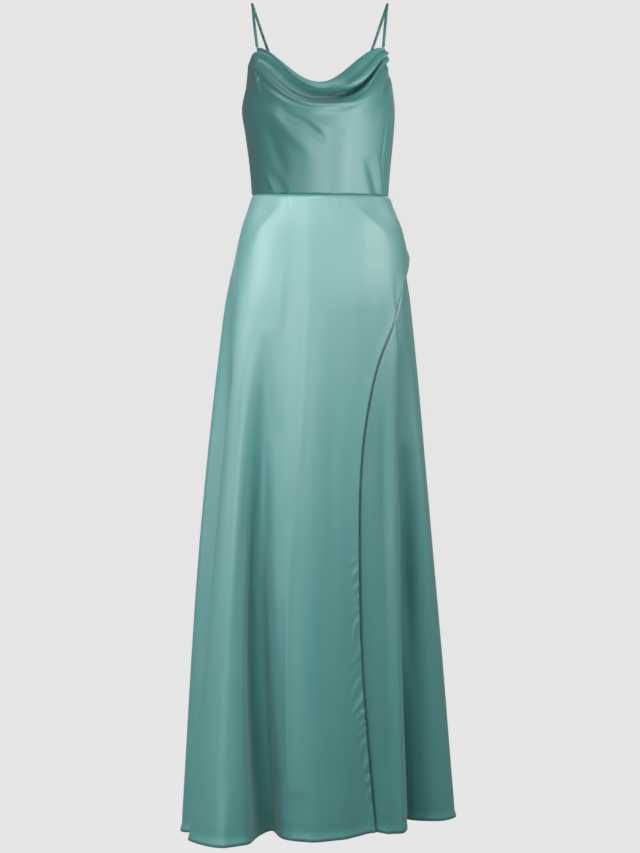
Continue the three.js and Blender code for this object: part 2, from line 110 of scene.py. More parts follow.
# The wrapped front's free edge: height, distance from the centre
SLIT_EDGE = [
    (-474, 157), (-511, 144), (-571, 129), (-660, 99), (-757, 80), (-860, 70),
    (-994, 68), (-1124, 70), (-1232, 75), (-1319, 82), (HEM_Z, 98),
]

# Sections of the bodice: height, half width right and left, depth of the back
BODICE_SIDES = [
    (WAIST_Z, WAIST["right"], WAIST["left"], WAIST["back"]),
    (-300, 127, 127, 84),
    (-240, 135, 133, 90),
    (-190, 142, 136, 94),
    (-150, 135, 132, 94),
]

# Rows of the bodice front: end z and y, middle z and y, arc, shift (z, y) halfway right and left
FRONT_ROWS = [
    ("waist", -348, 0, -353.5, -98, 90, (0, 0), (0, 0)),
    ("ribs", -300, 0, -306, -110, 90, (0, 2), (0, -1)),
    ("under bust", -240, 0, -262, -122, 90, (0, 0), (0, -2)),
    ("bust", -190, 0, -236, -130, 90, (0, -3), (0, -5)),
    ("underarm", -150, 0, -218, -132, 90, (0, -5), (-6, -8)),
    ("lower crest", -116, -38, -199, -136, 66, (-6, -5), (-18, -12)),
    ("valley", -101, -56, -178, -101, 60, (-3, 2), (-14, -8)),
    ("upper crest", -94, -66, -165, -120, 56, (5, 5), (-22, -12)),
    ("neckline", -88, -70, -154.5, -112, 55, (2, 3), (7, 2)),
]
STRAP_CORNER = {"right": -113.8, "left": 115.2, "y": -70, "z": -88}

# A strap's centre line over the shoulder, from front to back
STRAP_ROUTE = [
    (117.6, -51, -44),
    (121.3, -26, -6.8),
    (123, 0, STRAP_RADIUS),
    (117.8, 23, -11),
    (103.6, 48, -51),
    (84, 68, -106),
]
STRAP_BACK_ACROSS = 0.337
STRAP_FOOT_RISE = 1.4
STRAP_FOOT_IN = 1.5
STRAP_FOOT_DEPTH = 0.5


def smooth(amount):
    amount = np.clip(amount, 0, 1)
    return amount * amount * (3 - 2 * amount)


def ramp(value, low, high):
    return smooth((np.asarray(value, float) - low) / (high - low))


def mix(low, high, amount):
    return low + (high - low) * amount


def hump(distance, width):
    return np.exp(-((distance / width) ** 2))


def through(stations, values, place):
    """Reads a smooth curve through values at the stations. values has one row, or one for each place."""
    stations = np.asarray(stations, float)
    values = np.asarray(values, float)
    place = np.asarray(place, float)
    last = len(stations) - 1
    sign = 1 if stations[-1] > stations[0] else -1
    low = np.clip(np.searchsorted(sign * stations, sign * place, side="left") - 1, 0, last - 1)
    before = np.maximum(np.arange(last + 1) - 1, 0)
    after = np.minimum(np.arange(last + 1) + 1, last)
    slopes = (values[..., after] - values[..., before]) / (stations[after] - stations[before])

    def pick(table, index):
        if table.ndim == 1:
            return table[index]
        return np.take_along_axis(table, index[:, None], 1)[:, 0]

    span = stations[low + 1] - stations[low]
    t = np.clip((place - stations[low]) / span, 0, 1)
    return hermite(
        pick(values, low),
        pick(values, low + 1),
        span * pick(slopes, low),
        span * pick(slopes, low + 1),
        t,
    )


def hermite(start, end, leave, arrive, t):
    t2 = t * t
    t3 = t2 * t
    return (
        (2 * t3 - 3 * t2 + 1) * start
        + (t3 - 2 * t2 + t) * leave
        + (-2 * t3 + 3 * t2) * end
        + (t3 - t2) * arrive
    )


def catmull_rom(a, b, c, d, t):
    """A centripetal curve from b to c, for rows of points and their places t."""

    def root(p, q):
        return np.sum((q - p) ** 2, axis=1, keepdims=True) ** 0.25

    first, middle, final = root(a, b), root(b, c), root(c, d)
    leave = ((b - a) / first - (c - a) / (first + middle) + (c - b) / middle) * middle
    arrive = ((c - b) / middle - (d - b) / (middle + final) + (d - c) / final) * middle
    return hermite(b, c, leave, arrive, t[:, None])


def oval(size, degrees):
    angle = math.radians(degrees)
    across, along = math.sin(angle), -math.cos(angle)
    return (
        across * (size["left"] if across > 0 else size["right"]),
        along * (size["back"] if along > 0 else size["front"]),
    )


LEVELS = [WAIST_Z, UPPER_HIP_Z, HIP_Z, MID_Z, HEM_Z]
LINE_ANGLES = np.array([line[1] for line in FOLD_LINES], float)
LINE_TRACKS = np.array(
    [
        [oval(WAIST, angle), oval(UPPER_HIP, angle), hip, mid, hem]
        for _, angle, hip, mid, hem, _ in FOLD_LINES
    ],
    float,
)
LINE_LIFTS = np.array([line[5] for line in FOLD_LINES], float)


def fold_corner(index, level):
    tracks = LINE_TRACKS[index % LINE_COUNT]
    return np.stack([through(LEVELS, tracks[..., axis], level) for axis in (0, 1)], axis=1)


def section_point(line, level):
    low = np.floor(line).astype(int)
    corners = [fold_corner(low + step, level) for step in (-1, 0, 1, 2)]
    return catmull_rom(*corners, line - low)


def line_angle(line):
    place = np.mod(line, LINE_COUNT)
    low = np.floor(place).astype(int)
    high = (low + 1) % LINE_COUNT
    return mix(LINE_ANGLES[low], LINE_ANGLES[high] + np.where(high == 0, 360, 0), place - low)


def hem_lift(line, level):
    low = np.floor(line).astype(int)
    lift = mix(
        LINE_LIFTS[low % LINE_COUNT], LINE_LIFTS[(low + 1) % LINE_COUNT], smooth(line - low)
    )
    return lift * ((level - WAIST_Z) / (HEM_Z - WAIST_Z)) ** HEM_LIFT_POWER


def skirt_point(line, level, stand=0.0):
    """The skirt's outer surface: line counts the fold lines, level is a height, stand lifts it out."""
    here = section_point(line, level)
    step = section_point(line + 0.01, level) - section_point(line - 0.01, level)
    outward = np.stack([step[:, 1], -step[:, 0]], axis=1)
    outward /= np.linalg.norm(outward, axis=1, keepdims=True)
    here = here + outward * np.reshape(stand, (-1, 1))
    angle = np.radians(line_angle(line))
    front = np.maximum(np.cos(angle), 0)
    dip = -WAIST_DIP * front**2 - WAIST_LEAN * np.sin(angle)
    height = level + dip * ramp(level, UPPER_HIP_Z, WAIST_Z) + hem_lift(line, level)
    return np.column_stack([here, height])


def wrap_stand(line):
    return WRAP_LIFT * ramp(line, WRAP_LIFT_FROM, WRAP_LIFT_FULL)


def slit_line(level):
    """The place among the fold lines where the wrapped front ends at each height."""
    heights, widths = zip(*SLIT_EDGE)
    target = through(heights, widths, level)
    low = np.full(level.shape, UNDERLAP_EDGE)
    high = np.full(level.shape, float(LEFT_SEAM))
    for _ in range(30):
        middle = (low + high) / 2
        inside = skirt_point(middle, level, wrap_stand(middle))[:, 0] < target
        low = np.where(inside, middle, low)
        high = np.where(inside, high, middle)
    return np.where(level >= HIP_CORNER_Z, LEFT_SEAM, low)


def bodice_side(height):
    stations, right, left, back = zip(*BODICE_SIDES)
    return [through(stations, column, height) for column in (right, left, back)]


def front_row(row, s):
    name, end_z, end_y, mid_z, mid_y, arc, right, left = row
    arc = math.radians(arc)
    on_left = s > 0
    section = bodice_side(np.array([min(end_z, UNDERARM_Z)]))
    half_right, half_left = -section[0][0], section[1][0]
    if end_z > UNDERARM_Z:
        t = (end_z - UNDERARM_Z) / (STRAP_CORNER["z"] - UNDERARM_Z)
        bow = math.sin(math.pi * t**ARMHOLE_SKEW) * ARMHOLE_BOW
        half_right = mix(half_right, STRAP_CORNER["right"], t) - bow
        half_left = mix(half_left, STRAP_CORNER["left"], t) + bow
    end_x = np.where(on_left, half_left, half_right)
    across = np.sin(arc * np.abs(s)) / math.sin(arc) * end_x
    hollow = (np.cos(arc * s) - math.cos(arc)) / (1 - math.cos(arc))
    swag = (1 - np.cos(math.pi * s)) / 2
    shift = np.sin(math.pi * s) ** 2
    lean = -WAIST_LEAN * np.sin(arc * s) if name == "waist" else 0
    return np.column_stack(
        [
            across,
            mix(end_y, mid_y, hollow) + np.where(on_left, left[1], right[1]) * shift,
            mix(mid_z, end_z, swag) + np.where(on_left, left[0], right[0]) * shift + lean,
        ]
    )


def front_point(u, v):
    """The bodice front's outside: u from the right side to the left, v from neckline to waist."""
    rows = np.stack([front_row(row, 2 * u - 1) for row in reversed(FRONT_ROWS)])
    rows[-1][:, 2] += SEAM_GAP / 2
    rows = np.concatenate([2 * rows[:1] - rows[1:2], rows, 2 * rows[-1:] - rows[-2:-1]])
    place = np.clip(v, 0, 1) * (len(FRONT_ROWS) - 1)
    low = np.minimum(np.floor(place).astype(int), len(FRONT_ROWS) - 2)
    index = np.arange(len(u))
    corners = [rows[low + step, index] for step in range(4)]
    return catmull_rom(*corners, place - low)


def back_point(across, v):
    """The bodice back's outside: across from the right seam to the left, v from top to waist."""
    angle = np.radians(mix(-90, 90, across))
    top = UNDERARM_Z - BACK_TOP_DIP * np.cos(angle) ** 2
    height = mix(top, WAIST_Z - WAIST_LEAN * np.sin(angle) + SEAM_GAP / 2, v)
    right, left, back = bodice_side(height)
    half = np.where(angle > 0, left, right)
    return np.column_stack([half * np.sin(angle), back * np.cos(angle), height])


# Creases are soft troughs or ridges along a line in the front view, or the back view for the back:
# points (x, z), width, height out of the cloth (negative goes in)
BODICE_CREASES = [
    ("bust fold", [(-74, -206), (-50, -220), (-30, -229), (10, -262)], 8, -4.4),
    ("bust fold lower lip", [(-80, -222), (-50, -250), (-14, -284)], 10, 2.6),
    ("rib fold", [(-103, -208), (-92, -240), (-78, -280), (-60, -325)], 10, -3.2),
    ("side streak", [(-102, -300), (-92, -325), (-72, -372)], 3.5, 1.5),
    ("side trough", [(-86, -308), (-74, -330), (-56, -372)], 7, -1.8),
    ("waist fold left", [(84, -284), (96, -320), (112, -378)], 8, -5),
    ("waist fold left ridge", [(100, -276), (108, -310), (113, -340)], 5, 1.4),
    ("dart", [(125, -168), (116, -244), (110, -290), (120, -376)], 1.8, -1.4),
    ("crest streak", [(-99, -120), (-88, -140), (-76, -162)], 3.2, 2.0),
    ("crest trough", [(-90, -128), (-76, -150), (-60, -170)], 3.4, -2.0),
    ("crest facet", [(-36, -176), (-20, -186), (-8, -198)], 4, 1.6),
    ("pucker", [(40, -194), (56, -183)], 1.8, -1.2),
    ("pucker", [(50, -188), (66, -173)], 1.8, -1.2),
    ("underarm notch", [(134, -118), (124, -146), (113, -172)], 3.2, -7),
    ("underarm pull", [(121, -160), (104, -196), (96, -224)], 6, -1.6),
    ("armhole crumple", [(-122, -124), (-117, -133), (-118, -146)], 2.0, 3.6),
    ("armhole crumple", [(-118, -132), (-113, -141), (-114, -154)], 2.0, 3.0),
    ("armhole crumple", [(-117, -146), (-111, -158), (-106, -176)], 2.4, 3.4),
    ("armhole trough", [(-114, -126), (-109, -140), (-104, -156)], 2.4, -2.0),
    ("waist pucker", [(-60, -334), (-63, -370)], 3, -0.9),
    ("waist pucker", [(14, -338), (11, -370)], 2.6, -0.8),
    ("waist pucker", [(52, -336), (59, -370)], 3, -0.9),
]
SKIRT_FRONT_CREASES = [
    ("hip streak", [(-67, -490), (-70, -560), (-71, -630)], 6, 1.1),
    ("front ridge", [(-18, -370), (-23, -560), (-34, -750), (-50, -1000)], 9, 1.2),
    ("front ridge lower", [(-50, -930), (-60, -1130), (-58, -1300), (-48, -1570)], 8, 3.2),
    ("left hip trough", [(95, -396), (93, -480), (88, -590)], 9, -1.2),
    ("waist wrinkle", [(14, -342), (27, -380)], 2.2, -0.9),
    ("waist wrinkle", [(29, -342), (44, -378)], 2.2, -0.8),
    ("waist wrinkle", [(-63, -340), (-51, -384)], 3, -0.9),
    ("hip drag", [(40, -350), (96, -404), (132, -444)], 7, 0.9),
    ("hip drag right", [(-56, -348), (-100, -410), (-126, -468)], 8, 0.9),
    ("centre trough", [(24, -620), (20, -860), (28, -1120)], 12, -1.6),
    ("right front trough", [(-112, -700), (-132, -960), (-150, -1200)], 11, -1.8),
    ("right valley", [(-98, -600), (-106, -900), (-113, -1109), (-113, -1289), (-104, -1600)], 14, -14),
    ("right valley far side", [(-72, -780), (-77, -1109), (-77, -1289), (-70, -1600)], 12, 6),
    ("under panel valley", [(150, -800), (154, -960), (157, -1161), (164, -1311), (174, -1640)], 15, -21),
    ("hem ripple", [(94, -1430), (106, -1570)], 6, 2.5),
    ("hem ripple", [(126, -1440), (136, -1570)], 5, -2.5),
    ("hem ripple", [(-66, -1430), (-62, -1570)], 7, 2.2),
    ("hem ripple", [(-30, -1410), (-24, -1570)], 9, -2.2),
    ("hem ripple", [(52, -1420), (64, -1570)], 10, -2.0),
    ("hem ripple", [(-160, -1390), (-170, -1570)], 10, 2.4),
    ("hem ripple", [(206, -1390), (220, -1570)], 10, -2.0),
]
# Fold edges step down steeply on one side: points (x, z), height, which side drops (1 is towards +X),
# width of the drop and of the slope back up
SKIRT_FOLD_EDGES = [
    (
        "under panel fold",
        [(120, -430), (131, -600), (133, -894), (136, -1161), (141, -1311), (150, -1560)],
        9, 1, 4, 20,
    ),
    (
        "under panel turn",
        [(112, -700), (122, -900), (129, -1161), (133, -1311), (142, -1560)],
        18, -1, 7, 24,
    ),
    (
        "front fold",
        [(-149, -465), (-151, -691), (-160, -739), (-174, -862)]
        + [(-194, -1099), (-215, -1348), (-236, -1560)],
        6, -1, 4, 22,
    ),
    ("centre ridge", [(-60, -1030), (-59, -1130), (-58, -1240), (-57, -1440)], 3.2, -1, 5, 34),
]
SKIRT_BACK_CREASES = [
    ("seat streak right", [(-60, -420), (-66, -520), (-70, -620)], 9, 1.2),
    ("seat streak left", [(64, -430), (70, -540), (76, -660)], 9, 1.1),
    ("zip end drag right", [(-6, -512), (-34, -560), (-50, -620)], 7, -1.4),
    ("zip end drag left", [(6, -508), (30, -556), (48, -626)], 7, -1.2),
    ("back trough right", [(-96, -760), (-104, -980), (-112, -1220)], 12, -1.8),
    ("back trough left", [(94, -720), (100, -1000), (110, -1260)], 12, -1.6),
    ("back waist wrinkle", [(-40, -336), (-51, -380)], 3, -0.9),
    ("back waist wrinkle", [(49, -336), (57, -376)], 3, -0.8),
]
BODICE_BACK_CREASES = [
    ("back drag right", [(-96, -176), (-60, -220), (-24, -262)], 9, -1.6),
    ("back drag left", [(98, -180), (66, -226), (30, -270)], 9, -1.4),
    ("small of the back right", [(-80, -310), (-50, -322), (-14, -330)], 7, 1.2),
    ("small of the back left", [(84, -304), (52, -318), (12, -326)], 7, 1.2),
    ("zip pucker", [(-10, -210), (-3, -214)], 3, -0.8),
    ("zip pucker", [(10, -244), (3, -249)], 3, -0.8),
    ("zip pucker", [(-11, -286), (-3, -290)], 3, -0.8),
]


def crease_heights(points, creases):
    """How far each point moves out of the cloth for a table of creases."""
    total = np.zeros(len(points))
    for _, route, width, height in creases:
        signed, along = nearest_on_route(points[:, (0, 2)], route)
        fade = np.sin(math.pi * along) ** 0.8
        total += height * hump(signed, width) * fade
    return total


def nearest_on_route(places, route):
    """For each place: distance to a route, signed + on its +X side, and the share of its length."""
    route = np.array(route, float)
    lengths = np.linalg.norm(np.diff(route, axis=0), axis=1)
    starts = np.concatenate([[0], np.cumsum(lengths)])
    near = np.full(len(places), 1e9)
    signed = np.zeros(len(places))
    along = np.zeros(len(places))
    for start, end, length, offset in zip(route[:-1], route[1:], lengths, starts):
        direction = (end - start) / length
        reach = (places - start) @ direction
        clipped = np.clip(reach, 0, length)
        foot = start + clipped[:, None] * direction
        gap = np.linalg.norm(places - foot, axis=1)
        closer = gap < near
        near = np.where(closer, gap, near)
        signed = np.where(closer, np.where(places[:, 0] > foot[:, 0], gap, -gap), signed)
        along = np.where(closer, (offset + clipped) / starts[-1], along)
    return signed, along


def fold_edge_heights(points, edges):
    """Adds folds whose edge is crisp on one side, as a soft pleat's is."""
    total = np.zeros(len(points))
    for _, route, height, side, drop, slope in edges:
        signed, along = nearest_on_route(points[:, (0, 2)], route)
        beyond = signed * side
        rise = np.exp(-((np.minimum(beyond, 0) / slope) ** 2)) * 0.5
        fall = -np.exp(-((np.maximum(beyond - drop, 0) / slope) ** 2)) * 0.5
        profile = mix(rise, fall, smooth(beyond / drop))
        fade = ramp(along, 0, 0.3) * (1 - ramp(along, 0.9, 1.0))
        total += height * profile * fade
    return total


def drift(points, size, seed):
    """Broad uneven waves, as cloth has between its folds, from -1 to 1."""
    x, y, z = (points / size).T
    return (
        np.sin(1.7 * x + 0.6 * z + seed)
        + np.sin(1.1 * y - 0.9 * x + 0.37 * z + 2.1 * seed)
        + 0.6 * np.sin(2.9 * x + 2.3 * y - 0.5 * z + 0.7 * seed)
    ) / 2.6


# Building cloth


def surface_normals(surface, u, v):
    """Outward directions of a surface function by small steps along and down it."""
    step = 1e-3
    across = surface(np.minimum(u + step, 1), v) - surface(np.maximum(u - step, 0), v)
    down = surface(u, np.minimum(v + step, 1)) - surface(u, np.maximum(v - step, 0))
    normals = np.cross(down, across)
    return normals / np.linalg.norm(normals, axis=1, keepdims=True)


def edge_dense(t, crowding):
    """Spreads grid lines so that they lie closer at both ends."""
    return t - crowding * np.sin(2 * math.pi * t) / (2 * math.pi)


def finish_mesh(name, form, material):
    mesh = bpy.data.meshes.new(name)
    form.to_mesh(mesh)
    form.free()
    mesh.polygons.foreach_set("use_smooth", [True] * len(mesh.polygons))
    piece = bpy.data.objects.new(name, mesh)
    bpy.context.scene.collection.objects.link(piece)
    piece.data.materials.append(material)
    return piece


def cloth_grid(name, columns, rows, shape, flat, material):
    """A cloth piece from a grid. shape(u, v) gives points in mm; flat is the cut's size for its UV map."""
    form = bmesh.new()
    form.loops.layers.uv.new("threads")
    bmesh.ops.create_grid(form, x_segments=columns, y_segments=rows, size=0.5, calc_uvs=True)
    piece = finish_mesh(name, form, material)
    mesh = piece.data
    places = np.empty(len(mesh.vertices) * 3)
    mesh.vertices.foreach_get("co", places)
    u, v = places[0::3] + 0.5, 0.5 - places[1::3]
    corners = np.empty(len(mesh.loops), int)
    mesh.loops.foreach_get("vertex_index", corners)
    threads = np.column_stack([u * flat[0], (1 - v) * flat[1]])[corners]
    mesh.uv_layers.active.data.foreach_set("uv", threads.ravel())
    mesh.vertices.foreach_set("co", (shape(u, v) * MM).ravel())
    mesh.update()
    return piece


def give_thickness(piece, thickness):
    shell = piece.modifiers.new("cloth thickness", "SOLIDIFY")
    shell.thickness = thickness * MM
    shell.offset = -1
    shell.use_even_offset = False
    return piece


def seam_groove(distance, depth=1.1, width=2.2):
    """How far the cloth dips in at a seam, by the distance from it in mm."""
    return -depth * hump(distance, width)


def turned_edge(distance, roll=1.4):
    """How far the cloth rolls in at a turned edge, by the distance from it in mm."""
    inside = np.clip(1 - distance / roll, 0, 1)
    return -roll * (1 - np.sqrt(1 - inside**2))


# Materials


def new_material(name):
    material = bpy.data.materials.new(name)
    material.use_nodes = True
    nodes, links = material.node_tree.nodes, material.node_tree.links
    return material, nodes, links, nodes["Principled BSDF"]


def set_inputs(node, values):
    for name, value in values.items():
        node.inputs[name].default_value = value


def math_node(nodes, links, operation, first, second):
    node = nodes.new("ShaderNodeMath")
    node.operation = operation
    for socket, value in zip(node.inputs, (first, second)):
        if isinstance(value, (int, float)):
            socket.default_value = value
        else:
            links.new(value, socket)
    return node.outputs[0]


def scaled_coordinates(nodes, links, source, scale, turn=0.0):
    mapping = nodes.new("ShaderNodeMapping")
    set_inputs(mapping, {"Scale": scale, "Rotation": (0, 0, turn)})
    links.new(source, mapping.inputs["Vector"])
    return mapping.outputs[0]


def noise(nodes, links, vector, scale, detail=2.0, roughness=0.5):
    node = nodes.new("ShaderNodeTexNoise")
    set_inputs(node, {"Scale": scale, "Detail": detail, "Roughness": roughness})
    links.new(vector, node.inputs["Vector"])
    return node.outputs["Fac"]


def bump(nodes, links, height, strength, distance):
    node = nodes.new("ShaderNodeBump")
    set_inputs(node, {"Strength": strength, "Distance": distance})
    links.new(height, node.inputs["Height"])
    return node.outputs[0]


def map_range(nodes, links, value, source, target):
    node = nodes.new("ShaderNodeMapRange")
    ends = ("From Min", "From Max", "To Min", "To Max")
    set_inputs(node, dict(zip(ends, (*source, *target))))
    links.new(value, node.inputs["Value"])
    return node.outputs[0]


# Scales of the satin's patterns on its UV map, which is in metres across and along the threads
STREAK_SCALE = (240, 6, 1)
SLUB_SCALE = (1400, 60, 1)
PATCH_SCALE = 9.0
TWILL_SCALE = 620
TWILL_SHARE = 0.12
WEAVE_BUMP = (0.12, 0.0002)
ROUGHNESS_DRIFT = 0.03
SATIN_SHINE = {"IOR": 1.58, "Specular IOR Level": 1.0, "Sheen Weight": 0.3, "Sheen Roughness": 0.4}


def satin_colour(nodes, links, turned, patches, dark, light):
    """Colour drifts a little along the threads."""
    streaks = noise(nodes, links, scaled_coordinates(nodes, links, turned, STREAK_SCALE), 1.0)
    blend = math_node(nodes, links, "ADD", streaks, patches)
    colour = nodes.new("ShaderNodeMix")
    colour.data_type = "RGBA"
    set_inputs(colour, {"A": (*dark, 1), "B": (*light, 1)})
    links.new(map_range(nodes, links, blend, (0.4, 1.6), (0, 1)), colour.inputs["Factor"])
    return colour.outputs["Result"]


def satin_weave(nodes, links, turned):
    """Fine twill of the weave, with slubs along the threads."""
    twill = nodes.new("ShaderNodeTexWave")
    twill.wave_type = "BANDS"
    twill.bands_direction = "DIAGONAL"
    set_inputs(twill, {"Scale": TWILL_SCALE, "Distortion": 0.6})
    links.new(turned, twill.inputs["Vector"])
    lines = math_node(nodes, links, "MULTIPLY", twill.outputs["Fac"], TWILL_SHARE)
    slubs = noise(nodes, links, scaled_coordinates(nodes, links, turned, SLUB_SCALE), 1.0)
    return bump(nodes, links, math_node(nodes, links, "ADD", lines, slubs), *WEAVE_BUMP)


def satin(name, dark, light, roughness, anisotropy, grain_turn=0.0):
    """Satin: long floating threads give a directional sheen."""
    material, nodes, links, shader = new_material(name)
    threads = nodes.new("ShaderNodeUVMap").outputs[0]
    turned = scaled_coordinates(nodes, links, threads, (1, 1, 1), grain_turn)
    patches = noise(nodes, links, turned, PATCH_SCALE)
    rough_ends = (roughness - ROUGHNESS_DRIFT, roughness + ROUGHNESS_DRIFT)
    rough = map_range(nodes, links, patches, (0, 1), rough_ends)
    tangent = nodes.new("ShaderNodeTangent")
    tangent.direction_type = "UV_MAP"
    colour = satin_colour(nodes, links, turned, patches, dark, light)
    links.new(colour, shader.inputs["Base Color"])
    links.new(satin_weave(nodes, links, turned), shader.inputs["Normal"])
    links.new(rough, shader.inputs["Roughness"])
    links.new(tangent.outputs[0], shader.inputs["Tangent"])
    set_inputs(shader, SATIN_SHINE)
    set_inputs(shader, {"Anisotropic": anisotropy, "Anisotropic Rotation": grain_turn / (2 * math.pi)})
    return material


SATIN_DARK = (0.06, 0.24, 0.228)
SATIN_LIGHT = (0.072, 0.268, 0.254)
STRAP_DARK = (0.055, 0.21, 0.2)
STRAP_LIGHT = (0.065, 0.235, 0.222)
BIAS = math.radians(45)
BODICE_SATIN = satin("bodice satin", SATIN_DARK, SATIN_LIGHT, 0.43, 0.7, -BIAS)
SKIRT_SATIN = satin("skirt satin", SATIN_DARK, SATIN_LIGHT, 0.45, 0.5)
STRAP_SATIN = satin("strap satin", STRAP_DARK, STRAP_LIGHT, 0.42, 0.6, BIAS)


def plain_material(name, colour, roughness, metallic=0.0):
    material, nodes, links, shader = new_material(name)
    place = nodes.new("ShaderNodeTexCoord").outputs["Object"]
    speckle = noise(nodes, links, place, 900.0, 3.0)
    links.new(bump(nodes, links, speckle, 0.15, 0.0001), shader.inputs["Normal"])
    set_inputs(shader, {"Base Color": (*colour, 1), "Roughness": roughness, "Metallic": metallic})
    return material


ZIP_CLOTH = plain_material("zip tape weave", (0.08, 0.24, 0.22), 0.8)
ZIP_METAL = plain_material("lacquered metal", (0.09, 0.25, 0.23), 0.3, 0.5)


# Bodice

CROWD_ACROSS = 0.5
CROWD_DOWN = 0.7
FRONT_SPANS = len(FRONT_ROWS) - 1
FRONT_WIDTH = 270
NECK_SPAN = 20
WAIST_SPAN = 45
BACK_HALF_ARC = 210
BACK_DROP = 185
CENTRE_SEAM = (1.3, 2.6)


def cowl_folds(s, place):
    """Extra drape round the neckline. place counts the rows from the neckline: crest, valley, crest."""
    left_tuck = hump(s - 0.62, 0.36)
    scoop = 1 - ramp(s, 0.05, 0.5)
    return (
        -15 * left_tuck * hump(place - 2.05, 0.26)
        + 7.0 * left_tuck * hump(place - 1.4, 0.3)
        - 3.5 * left_tuck * hump(place - 0.6, 0.32)
        - 9.0 * scoop * hump(place - 1.0, 0.55)
        - 6.0 * hump(place - 2.1, 0.5) * hump(s + 0.2, 0.6)
        + 3.0 * scoop * hump(place - 3.0, 0.15) * hump(s + 0.15, 0.65)
        - 2.6 * hump(place - 3.32, 0.12) * scoop * hump(s + 0.45, 0.4)
        - 9.0 * ramp(s, 0.2, 0.5) * hump(place - 2.95, 0.36)
    )


def bodice_front_shape(u, v):
    u, v = edge_dense(u, CROWD_ACROSS), edge_dense(v, CROWD_DOWN)
    points = front_point(u, v)
    normals = surface_normals(front_point, u, v)
    place = v * FRONT_SPANS
    s = 2 * u - 1
    below_cowl = ramp(place, 2.75, 3.25)
    edge = np.minimum(np.minimum(u, 1 - u) * FRONT_WIDTH, v * FRONT_SPANS * NECK_SPAN)
    stand = (
        crease_heights(points, BODICE_CREASES) * below_cowl
        + cowl_folds(s, place)
        + 0.8 * drift(points, 38, 0.4) * below_cowl
        + seam_groove((1 - v) * FRONT_SPANS * WAIST_SPAN)
        + turned_edge(edge)
    )
    points = points + normals * stand[:, None]
    points[:, 1] = np.minimum(points[:, 1], -SEAM_GAP / 2)
    return points


def bodice_back_shape(side):
    sign = 1 if side == "left" else -1
    first, last = (1, 0.5) if side == "left" else (0.5, 0)

    def surface(u, v):
        return back_point(mix(first, last, u), v)

    def shape(u, v):
        v = edge_dense(v, CROWD_DOWN)
        along = mix(first, last, u)
        points = surface(u, v)
        normals = surface_normals(surface, u, v)
        side_seam = np.minimum(along, 1 - along) * 2 * BACK_HALF_ARC
        centre = np.abs(along - 0.5) * 2 * BACK_HALF_ARC
        stand = (
            crease_heights(points, BODICE_BACK_CREASES)
            + 0.7 * drift(points, 42, 1.9)
            + seam_groove(side_seam)
            + seam_groove(centre, *CENTRE_SEAM)
            + seam_groove((1 - v) * BACK_DROP)
            + turned_edge(v * BACK_DROP)
        )
        points = points + normals * stand[:, None]
        points[:, 1] = np.maximum(points[:, 1], SEAM_GAP / 2)
        points[:, 0] = sign * np.maximum(sign * points[:, 0], SEAM_GAP / 2)
        return points

    return shape


# Skirt

ROWS_ABOVE_CORNER = 22
ROWS_BELOW_CORNER = 168
SKIRT_ROWS = ROWS_ABOVE_CORNER + ROWS_BELOW_CORNER
CORNER_V = ROWS_ABOVE_CORNER / SKIRT_ROWS
LINE_SPACING = 30
SEAM_HALF_LINE = SEAM_GAP / 2 / LINE_SPACING
CROWD_WRAP = 0.35
FRONT_BLEND = 20
WAIST_SEAM = (1.2, 2.6)
LINE_WIDTHS = (16, 42)

# The cloth stands out over the hips: how far, and how far down that is full, fades and ends.
# The lines are where each hip's is fullest and how wide it is
HIP_FALL = {"height": 7.5, "full": 410, "fades": 600, "ends": 860}
HIP_FALL_LINES = [(3, 1.9), (12, 2.2)]
HEM = {"depth": 28, "dip": 0.35, "soft": 3, "roll": 0.9, "flare": 3, "flare_reach": 12}

# Beside the wrap's free edge the under panel hangs back: depth, and the distances where it fades
RECESSES = [(2.5, 3, 28), (6, 2, 6)]
RECESS_BEHIND = (-60, -6)
RECESS_START = 60
EDGE_PULLS = {"height": 3.6, "spacing": 27, "slant": 1.15, "starts": 880, "full": 1160}
FACING = {"height": 0.1, "width": 21, "soft": 3, "top": 20}
FREE_EDGE = {"roll": 1.5, "lift": 1.2, "lift_reach": 10}
CORNER_FOLD = {"height": 7, "below": 10, "tall": 17, "wide": 0.8}


def skirt_level(v):
    above = mix(WAIST_Z - SEAM_GAP / 2, HIP_CORNER_Z, v / CORNER_V)
    below = mix(HIP_CORNER_Z, HEM_Z, (v - CORNER_V) / (1 - CORNER_V))
    return np.where(v <= CORNER_V, above, below)


def skirt_waves(points, level, line):
    """Fine folds that every layer of the skirt shares, and the smooth fall of the cloth over the hips."""
    front = ramp(-points[:, 1], -FRONT_BLEND, FRONT_BLEND)
    hips = ramp(-level, -WAIST_Z, HIP_FALL["full"])
    hips = hips * (1 - ramp(-level, HIP_FALL["fades"], HIP_FALL["ends"]))
    sides = sum(hump(line - side, width) for side, width in HIP_FALL_LINES)
    depth = ramp(-level, -WAIST_Z, 900)
    return (
        crease_heights(points, SKIRT_FRONT_CREASES) * front
        + fold_edge_heights(points, SKIRT_FOLD_EDGES) * front
        + crease_heights(points, SKIRT_BACK_CREASES) * (1 - front)
        + mix(0.5, 1.3, depth) * drift(points * (1, 1, 0.22), 46, 0.9)
        + HIP_FALL["height"] * hips * sides
    )


def skirt_edges(line, level, seams):
    """Dips at the seams and the turned hem."""
    line_width = mix(*LINE_WIDTHS, (level - WAIST_Z) / (HEM_Z - WAIST_Z))
    rise = level - HEM_Z
    stitched = -HEM["dip"] * ramp(HEM["depth"] - rise, -HEM["soft"], HEM["soft"])
    total = seam_groove(WAIST_Z - level, *WAIST_SEAM) + turned_edge(rise, HEM["roll"])
    total += stitched + HEM["flare"] * (1 - ramp(rise, 0, HEM["flare_reach"]))
    for seam in seams:
        total += seam_groove(np.abs(line - seam) * line_width)
    return total


